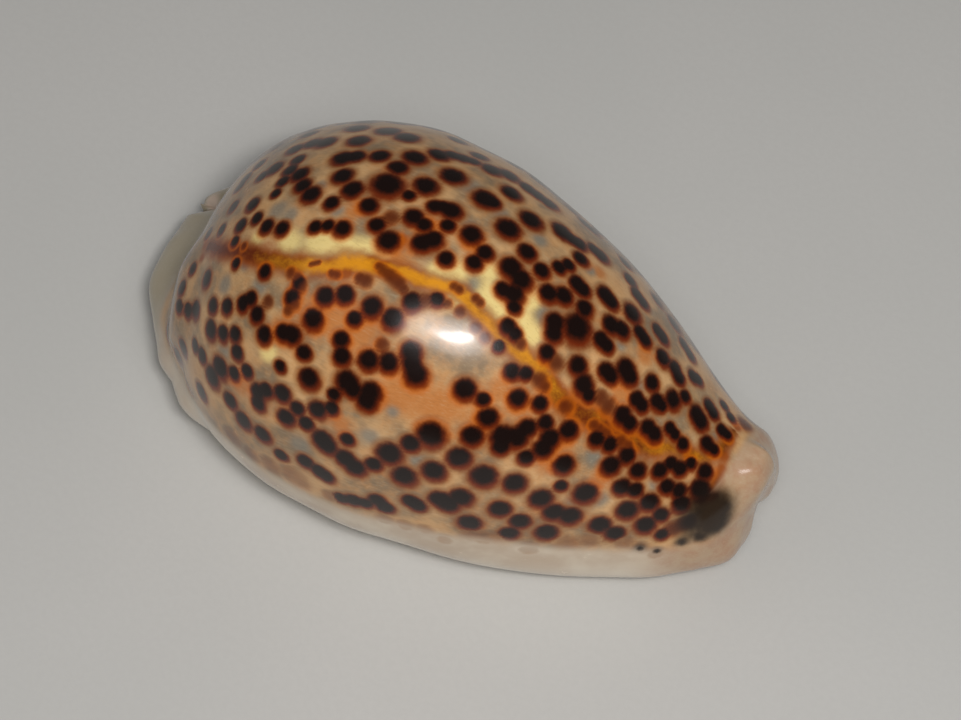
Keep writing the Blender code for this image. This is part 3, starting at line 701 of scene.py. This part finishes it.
def grow_inwards(mesh):
    """The strip along the slit is extruded row by row, and its new points know their row."""
    bpy.ops.object.mode_set(mode="EDIT")
    bpy.ops.mesh.select_mode(type="FACE")
    for row in range(1, LIP_ROWS + ROOM_ROWS + 1):
        bpy.ops.mesh.extrude_region()
        bm = bmesh.from_edit_mesh(mesh)
        row_of = bm.verts.layers.int["row"]
        for vert in bm.verts:
            if vert.select:
                vert[row_of] = row
    bpy.ops.object.mode_set(mode="OBJECT")


def shell_places(mesh, stations):
    """Where the grown globe's points lie on the shell, in metres and in the CAD's box."""
    count = len(stations)
    skin = skin_points(stations)
    poles = np.array([(x, curve(MIDDLE, x), z)
                      for x, z in ((BACK_X, BACK_POLE_Z), (FRONT_X, FRONT_POLE_Z))])
    loose = shape_lips(np.concatenate([skin.reshape(-1, 3), poles]))
    skin = loose[:-2].reshape(count, COLUMNS, 3)
    poles = loose[-2:]
    rows = inside_points(skin, stations)
    raise_ridges(skin, stations)
    marks = [read_mark(mesh, name) for name in ("ring", "column", "row")]
    places = np.zeros((len(mesh.vertices), 3))
    for i, (ring, column, row) in enumerate(zip(*marks)):
        if ring in (0, count + 1):
            places[i] = poles[0 if ring == 0 else 1]
        elif row == 0:
            places[i] = skin[ring - 1, column]
        else:
            side = {1: -1, COLUMNS - 1: 1}.get(column, 0)
            places[i] = rows[row - 1][side][ring - 1]
    low, high = places.min(axis=0), places.max(axis=0)
    return (places - low) / (high - low) * np.array(cad_high - cad_low) + np.array(cad_low)


def even_ends(mesh, first_slit_ring):
    """Smooth the skin of both ends, in edit mode."""
    bpy.ops.mesh.select_mode(type="VERT")
    bpy.ops.mesh.select_all(action="DESELECT")
    bm = bmesh.from_edit_mesh(mesh)
    ring_of, column_of, row_of = [bm.verts.layers.int[name] for name in ("ring", "column", "row")]
    for vert in bm.verts:
        at_end = vert.co.x < EVENED_BACK_X * MM or vert.co.x > EVENED_FRONT_X * MM
        from_slit = min(vert[column_of], COLUMNS - vert[column_of])
        past_slit = vert[ring_of] < first_slit_ring - 1
        vert.select = at_end and vert[row_of] == 0 and (from_slit >= EVENED_COLUMN or past_slit)
    bmesh.update_edit_mesh(mesh)
    bpy.ops.mesh.vertices_smooth(factor=EVENING, repeat=EVENING_PASSES)


def whole_shell():
    """The shell's fine surface: a globe whose strip between the lips grows inwards."""
    stations = ring_stations()
    slit_rings = {i + 1 for i, x in enumerate(stations) if SLIT_BACK_X <= x <= SLIT_FRONT_X}
    shell = marked_globe(len(stations), slit_rings)
    mesh = shell.data
    grow_inwards(mesh)
    mesh.vertices.foreach_set("co", shell_places(mesh, stations).ravel())
    mesh.update()
    bpy.ops.object.mode_set(mode="EDIT")
    bpy.ops.mesh.select_all(action="SELECT")
    bpy.ops.mesh.remove_doubles(threshold=WELD)
    bpy.ops.mesh.normals_make_consistent(inside=False)
    even_ends(mesh, min(slit_rings))
    bpy.ops.object.mode_set(mode="OBJECT")
    bpy.ops.object.shade_smooth()
    return shell


def camera_axes():
    """Right, up and back as the camera sees them, and its eye in millimetres."""
    azimuth = math.radians(CAMERA_AZIMUTH)
    elevation = math.radians(CAMERA_ELEVATION)
    back = Vector((math.sin(azimuth) * math.cos(elevation), -math.cos(azimuth) * math.cos(elevation),
                   math.sin(elevation)))
    right = Vector((math.cos(azimuth), math.sin(azimuth), 0))
    return right, back.cross(right), back, Vector(CAMERA_TARGET) + back * CAMERA_DISTANCE


def place_camera():
    back, eye = camera_axes()[2:]
    data = bpy.data.cameras.new("camera")
    data.sensor_width = SENSOR_WIDTH
    data.lens = FOCAL_PIXELS / FRAME_WIDTH * SENSOR_WIDTH
    data.shift_x = TARGET_LEFT / FRAME_WIDTH
    data.shift_y = -TARGET_ABOVE / FRAME_WIDTH
    camera = bpy.data.objects.new("camera", data)
    bpy.context.scene.collection.objects.link(camera)
    camera.location = eye * MM
    camera.rotation_euler = back.to_track_quat("Z", "Y").to_euler()
    bpy.context.scene.camera = camera


def seen_at(tree, pixel):
    """The surface under a pixel of the photograph, or a little further in where the pixel is beside
    the shell, and the millimetres that a pixel spans there."""
    right, up, back, eye = camera_axes()
    across = pixel[0] - FRAME_WIDTH / 2 + TARGET_LEFT
    rise = FRAME_HEIGHT / 2 - TARGET_ABOVE - pixel[1]
    for nearer in np.linspace(1.0, FURTHEST_IN, TRIES_IN):
        ray = right * (across * nearer / FOCAL_PIXELS) + up * (rise * nearer / FOCAL_PIXELS) - back
        place, normal = tree.ray_cast(eye, ray.normalized())[:2]
        if place is not None:
            return place, normal, (eye - place).dot(back) / FOCAL_PIXELS
    raise ValueError("no shell under pixel %s" % (pixel,))


def back_cover(places):
    """1 on the coloured back, 0 on the pale margins, base and ends."""
    x, y, z = places.T
    limit = curve(COVER_HEIGHT, x) - INNER_SIDE_DROP * soft(y / INNER_SIDE_WIDTH)
    height = soft((z - limit) / COVER_FADE + 0.5)
    back = soft((x - COVER_BACK_X) / COVER_END_FADE + 0.5)
    front = soft((COVER_FRONT_X - x) / COVER_END_FADE + 0.5)
    return height * back * front


def named_spots(tree):
    """Spots read from the photograph: place, normal, radius and strength."""
    spots = []
    for spots_seen, strength in ((BLACK_SPOTS, BLACK), (BROWN_SPOTS, BROWN), (FAINT_SPOTS, FAINT)):
        for across, down, radius in spots_seen:
            place, normal, span = seen_at(tree, (across, down))
            spots.append((place, normal, radius * span, strength))
    return spots


def scattered_spots(places, normals, cover, named):
    """Spots of the same sizes where the photograph doesn't show the back."""
    draw = random.Random(SCATTER_SEED)
    sight = np.array(camera_axes()[3]) - places
    facing = np.einsum("ij,ij->i", sight, normals) / np.linalg.norm(sight, axis=1)
    order = [int(i) for i in np.flatnonzero((facing < HIDDEN_FACING) & (cover > LEAST_COVER))]
    draw.shuffle(order)
    centres = [tuple(spot[0]) for spot in named]
    radii = [spot[2] for spot in named]
    spots = []
    for i in order:
        radius = draw.uniform(*SCATTER_RADIUS)
        gap = TWIN_GAP if draw.random() < TWIN_CHANCE else draw.uniform(*SCATTER_GAP)
        away = np.linalg.norm(np.array(centres) - places[i], axis=1)
        if np.all(away > (np.array(radii) + radius) * gap):
            centres.append(tuple(places[i]))
            radii.append(radius)
            spots.append((Vector(places[i]), Vector(normals[i]), radius, BLACK * float(cover[i]) ** 0.5))
    return spots


def spot_fields(near, count, spots, drift):
    """Squared distance from the nearest spots in radii, and those spots' strength. Spots that
    touch run together. Drift moves each one towards the viewer's side."""
    up = camera_axes()[1]
    nothing = math.exp(-SPOT_BLEND * SPOT_REACH ** 2)
    total = np.full(count, nothing)
    strengths = np.zeros(count)
    for place, normal, radius, strength in spots:
        down = -up - normal * normal.dot(-up)
        centre = place + down * (drift * radius)
        for found, i, distance in near.find_range(centre, radius * SPOT_REACH):
            share = math.exp(-SPOT_BLEND * (distance / radius) ** 2)
            total[i] += share
            strengths[i] += share * strength
    return -np.log(total) / SPOT_BLEND, strengths / total


def cloud_share(places, tree, clouds):
    """How far the clouds of one colour cover each place."""
    bare = np.ones(len(places))
    for across, down, radius in clouds:
        centre, normal, span = seen_at(tree, (across, down))
        away = np.linalg.norm(places - np.array(centre), axis=1) / (radius * span)
        bare *= 1 - np.exp(-away ** 2)
    return 1 - bare


def mantle_line(places, tree):
    """Distance to the line in its half widths (negative above it), its yellowness, and how near
    it is: 1 on its middle, 0 past its reach and its ends."""
    across, down, width, yellow = np.array(MANTLE_LINE).T
    along = np.concatenate([[0], np.cumsum(np.hypot(np.diff(across), np.diff(down)))])
    steps = np.arange(0, along[-1], LINE_STEP)
    across, down, width, yellow = [curve(np.stack([along, values], 1), steps)
                                   for values in (across, down, width, yellow)]
    points = [seen_at(tree, pixel) for pixel in zip(across, down)]
    spine = place_tree([point[0] for point in points])
    width *= np.array([point[2] for point in points])
    offset = np.full(len(places), LINE_REACH)
    tone = np.zeros(len(places))
    full = np.zeros(len(places))
    low = np.min([point[0] for point in points], axis=0) - LINE_REACH
    high = np.max([point[0] for point in points], axis=0) + LINE_REACH
    for i in np.flatnonzero(np.all((places > low) & (places < high), axis=1)):
        nearest, number, distance = spine.find(places[i])
        before, after = points[max(number - 1, 0)][0], points[min(number + 1, len(points) - 1)][0]
        side = (after - before).cross(Vector(places[i]) - nearest).dot(points[number][1])
        offset[i] = min(distance / width[number], LINE_REACH) * (-1 if side > 0 else 1)
        tone[i] = yellow[number]
        full[i] = soft(min(number, len(points) - 1 - number) / LINE_TAPER)
    return offset, tone, full * (1 - np.abs(offset) / LINE_REACH)


def mark_shell(shell):
    """Lay the shell's markings on its surface as values that the glaze reads."""
    mesh = shell.data
    count = len(mesh.vertices)
    places, normals = np.zeros(count * 3), np.zeros(count * 3)
    mesh.vertices.foreach_get("co", places)
    mesh.vertex_normals.foreach_get("vector", normals)
    places, normals = places.reshape(-1, 3) / MM, normals.reshape(-1, 3)
    rows = read_mark(mesh, "row")
    corners = [face.vertices[:] for face in mesh.polygons]
    tree = BVHTree.FromPolygons([Vector(place) for place in places], corners)
    near = place_tree(places)
    cover = back_cover(places) * (rows == 0)
    named = named_spots(tree)
    spots = named + scattered_spots(places, normals, cover, named)
    marks = {"cover": cover}
    marks["spot"], marks["spot_strength"] = spot_fields(near, count, spots, 0.0)
    marks["glow"] = spot_fields(near, count, spots, HALO_DRIFT)[0]
    marks["line"], marks["line_yellow"], marks["line_near"] = mantle_line(places, tree)
    for name, clouds in (("warm", WARM_CLOUDS), ("cool", COOL_CLOUDS), ("pale", PALE_CLOUDS),
                         ("amber", AMBER_CLOUDS), ("smoky", SMOKY_CLOUDS)):
        marks[name] = cloud_share(places, tree, clouds)
    unmarked = {"spot": SPOT_REACH ** 2, "glow": SPOT_REACH ** 2, "line": LINE_REACH}
    marks = {name: np.where(rows > 0, unmarked.get(name, 0), values) for name, values in marks.items()}
    marks["inside"] = np.clip(rows / LIP_ROWS, 0, 1)
    for name in ("ring", "column", "row"):
        mesh.attributes.remove(mesh.attributes[name])
    for name, values in marks.items():
        mesh.attributes.new(name, "FLOAT", "POINT").data.foreach_set("value", values.astype(np.float32))
    return list(marks)


def colour(red, green, blue):
    """A colour as the eye reads it, from 0 to 255, as the light that the nodes count in."""
    light = [(part / 255 / 12.92) if part <= 10 else ((part / 255 + 0.055) / 1.055) ** 2.4
             for part in (red, green, blue)]
    return (*light, 1.0)


class Shade:
    """A socket of a material's nodes. Arithmetic on it adds Math nodes."""

    def __init__(self, tree, socket):
        self.tree = tree
        self.socket = socket

    def node(self, kind, settings, inputs, output=0):
        """Add a node to the same material, its settings first and then its sockets."""
        made = self.tree.nodes.new(kind)
        for name, value in settings.items():
            setattr(made, name, value)
        for name, value in inputs.items():
            if isinstance(value, Shade):
                self.tree.links.new(value.socket, made.inputs[name])
            else:
                made.inputs[name].default_value = value
        return Shade(self.tree, made.outputs[output])

    def maths(self, operation, first, second):
        return self.node("ShaderNodeMath", {"operation": operation}, {0: first, 1: second})

    def __add__(self, other):
        return self.maths("ADD", self, other)

    __radd__ = __add__

    def __sub__(self, other):
        return self.maths("SUBTRACT", self, other)

    def __rsub__(self, other):
        return self.maths("SUBTRACT", other, self)

    def __mul__(self, other):
        return self.maths("MULTIPLY", self, other)

    __rmul__ = __mul__

    def sway(self, amount):
        """Noise about its own middle, which is a half, by an amount."""
        return (self - 0.5) * amount

    def scaled(self, times, plus):
        return self * times + plus

    def either(self, other):
        return self.maths("MAXIMUM", self, other)

    def fade(self, start, end):
        """0 at the start value and before it, 1 at the end value and past it."""
        return self.node("ShaderNodeMapRange", {"interpolation_type": "SMOOTHSTEP"},
                         {"Value": self, "From Min": start, "From Max": end})

    def over(self, below, above):
        """The colour above laid over the one below, as far as this value says."""
        below, above = [tint if isinstance(tint, Shade) else colour(*tint) for tint in (below, above)]
        return self.node("ShaderNodeMix", {"data_type": "RGBA"},
                         {0: self, MIX_BELOW: below, MIX_ABOVE: above}, MIX_OUT)

    def noise(self, size, detail, roughness):
        """Noise with lumps of a size in millimetres, read at this place."""
        return self.node("ShaderNodeTexNoise", {}, {"Vector": self, "Scale": 1 / (size * MM),
                                                    "Detail": detail, "Roughness": roughness})

    def moved(self, settings):
        return self.node("ShaderNodeMapping", {"vector_type": "POINT"}, {"Vector": self, **settings})

    def mark(self, name):
        return self.node("ShaderNodeAttribute", {"attribute_name": name}, {}, "Fac")

    def part(self, axis):
        return self.node("ShaderNodeSeparateXYZ", {}, {"Vector": self}, axis)


def glaze_values(place, marks):
    """What the layers of colour follow, by name: the shell's marks, noise, and mixes of both."""
    value = {name: place.mark(name) for name in marks}
    drifted = place.moved({"Location": CLOUD_DRIFT})
    value["wide_cloud"] = place.noise(*WIDE_CLOUD)
    value["small_cloud"] = drifted.noise(*SMALL_CLOUD)
    value["ragged"] = place.noise(*RAGGED)
    value["fuzz"] = drifted.noise(*FUZZ)
    value["streaks"] = place.moved({"Rotation": STREAK_TURN, "Scale": STREAK_STRETCH}).noise(*STREAKS)
    value["along"] = place.part("X")
    value["height"] = place.part("Z")
    stir = value["small_cloud"].sway(CLOUD_STIR)
    for name in ("warm", "cool", "pale", "amber"):
        value[name + "_cloud"] = value[name] * CLOUD_SWELL + stir
    add_line(value)
    add_spots(value)
    for name, (follows, first, last, shown) in BLENDS.items():
        value[name] = value[follows].fade(*shown).over(first, last)
    return value


def add_line(value):
    """The mantle line's edge and middle, and how yellow it is."""
    cloud = value["small_cloud"]
    line = value["line"] + value["ragged"].sway(LINE_RAGGED) + cloud.sway(LINE_CLOUDED)
    away = line.maths("ABSOLUTE", line, 0.0)
    near = value["line_near"].fade(*LINE_NEAR)
    value["line_edge"] = away.fade(*LINE_EDGE) * near
    value["line_middle"] = away.fade(*LINE_MIDDLE) * near
    yellow = value["line_yellow"] + cloud.sway(YELLOW_CLOUDED)
    value["yellowness"] = yellow + value["streaks"].sway(YELLOW_STREAKED)


def add_spots(value):
    """The spots' glow, rim, core and painted shadow, the smoke, and where the back's colours show."""
    strength = value["spot_strength"]
    full = strength.fade(*FULL_STRENGTH)
    edge = (value["ragged"].sway(EDGE_RAGGED) + value["fuzz"].sway(EDGE_FUZZ)) * (2.0 - strength)
    spot = value["spot"] + edge
    glow = value["glow"] + edge * GLOW_WANDER
    # Painted shadow: drab grey beside each spot, on the side away from its drifted glow.
    beside = (value["glow"] - value["spot"]).fade(*SHADE_SIDE)
    value["painted_spot_shadow"] = beside * value["spot"].fade(*SHADE_NEAR)
    value["spot_glow"] = glow.fade(*GLOW_FADE) * full
    value["warmth"] = value["warm"] + value["amber"] + value["pale"] * PALE_WARMTH + value["small_cloud"]
    value["spot_rim"] = glow.fade(RIM_START, strength.scaled(*RIM_END)) * strength.fade(*RIM_STRENGTH)
    core = spot.fade(strength.scaled(*CORE_START), strength.scaled(*CORE_END))
    value["spot_core"] = core * full * strength.scaled(*CORE_SHARE)
    value["smoke"] = (value["smoky"] + value["small_cloud"].sway(SMOKE_CLOUDED)).fade(*SMOKE_FULL)
    marked = (spot.fade(*SPOT_SHOWN) * full).either(value["smoke"])
    value["shown"] = value["cover"].fade(*COVER_FULL).either(marked)


def laid(painted, value, layers):
    """Layers of colour laid on what is painted, the lowest first."""
    for name, tint, share, shown in layers:
        reach = value[name].fade(*shown) if shown else value[name]
        painted = (reach * share).over(painted, value.get(tint, tint))
    return painted


def cowrie_glaze(marks):
    """Glossy glaze over clouded ground, mantle line, spots with their glow, and pale margins."""
    material = bpy.data.materials.new("cowrie_glaze")
    material.use_nodes = True
    tree = material.node_tree
    surface = tree.nodes["Principled BSDF"]
    place = Shade(tree, None).node("ShaderNodeTexCoord", {}, {}, "Object")
    value = glaze_values(place, marks)
    back = laid(value["ground"], value, BACK_LAYERS)
    margin = laid(value["margin"], value, MARGIN_LAYERS)
    painted = laid(value["shown"].over(margin, back), value, INSIDE_LAYERS)
    relief = place.noise(*RIPPLE) + value["fuzz"] * BUMP_FUZZ
    bump = place.node("ShaderNodeBump", {},
                      {"Strength": BUMP_STRENGTH, "Distance": BUMP_DEPTH, "Height": relief})
    roughness = value["small_cloud"].sway(ROUGHNESS_CLOUDED) + ROUGHNESS
    tree.links.new(painted.socket, surface.inputs["Base Color"])
    tree.links.new(roughness.socket, surface.inputs["Roughness"])
    tree.links.new(bump.socket, surface.inputs["Normal"])
    for name, amount in GLOSS.items():
        surface.inputs[name].default_value = amount
    return material


def soft_light(name, towards, distance, size, power, tint):
    """An oval light in a direction from the shell's middle, its width and height in metres."""
    data = bpy.data.lights.new(name, "AREA")
    data.shape = "ELLIPSE"
    data.size, data.size_y = size
    data.energy = power
    data.color = tint
    light = bpy.data.objects.new(name, data)
    bpy.context.scene.collection.objects.link(light)
    light.location = Vector((0, 0, LIT_HEIGHT)) + Vector(towards).normalized() * distance
    light.rotation_euler = Vector(towards).to_track_quat("Z", "Y").to_euler()


def lay_floor():
    bpy.ops.object.select_all(action="DESELECT")
    bpy.ops.mesh.primitive_plane_add(size=FLOOR_SIZE, location=(0, 0, 0))
    floor = bpy.context.object
    floor.name = "pale_floor"
    material = bpy.data.materials.new("pale_floor")
    material.use_nodes = True
    tree = material.node_tree
    surface = tree.nodes["Principled BSDF"]
    place = Shade(tree, None).node("ShaderNodeTexCoord", {}, {}, "Object")
    grain = place.noise(*FLOOR_GRAIN)
    painted = place.noise(*FLOOR_MOTTLE).fade(*FLOOR_FADE).over(*FLOOR_TINTS)
    painted = (grain.fade(*FLOOR_FADE) * FLOOR_GRIT_SHARE).over(painted, FLOOR_GRIT)
    bump = place.node("ShaderNodeBump", {},
                      {"Strength": FLOOR_BUMP, "Distance": BUMP_DEPTH, "Height": grain})
    tree.links.new(painted.socket, surface.inputs["Base Color"])
    tree.links.new(bump.socket, surface.inputs["Normal"])
    surface.inputs["Roughness"].default_value = FLOOR_ROUGHNESS
    floor.data.materials.append(material)


def light_studio():
    for name, light in LIGHTS.items():
        soft_light(name, *light)
    world = bpy.data.worlds.new("studio")
    world.use_nodes = True
    world.node_tree.nodes["Background"].inputs["Color"].default_value = (1, 1, 1, 1)
    world.node_tree.nodes["Background"].inputs["Strength"].default_value = SURROUND_LIGHT
    bpy.context.scene.world = world
    bpy.context.scene.view_settings.view_transform = "Standard"


shell = whole_shell()
shell.data.materials.append(cowrie_glaze(mark_shell(shell)))
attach(shell, "root")
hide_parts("shell")
lay_floor()
light_studio()
place_camera()
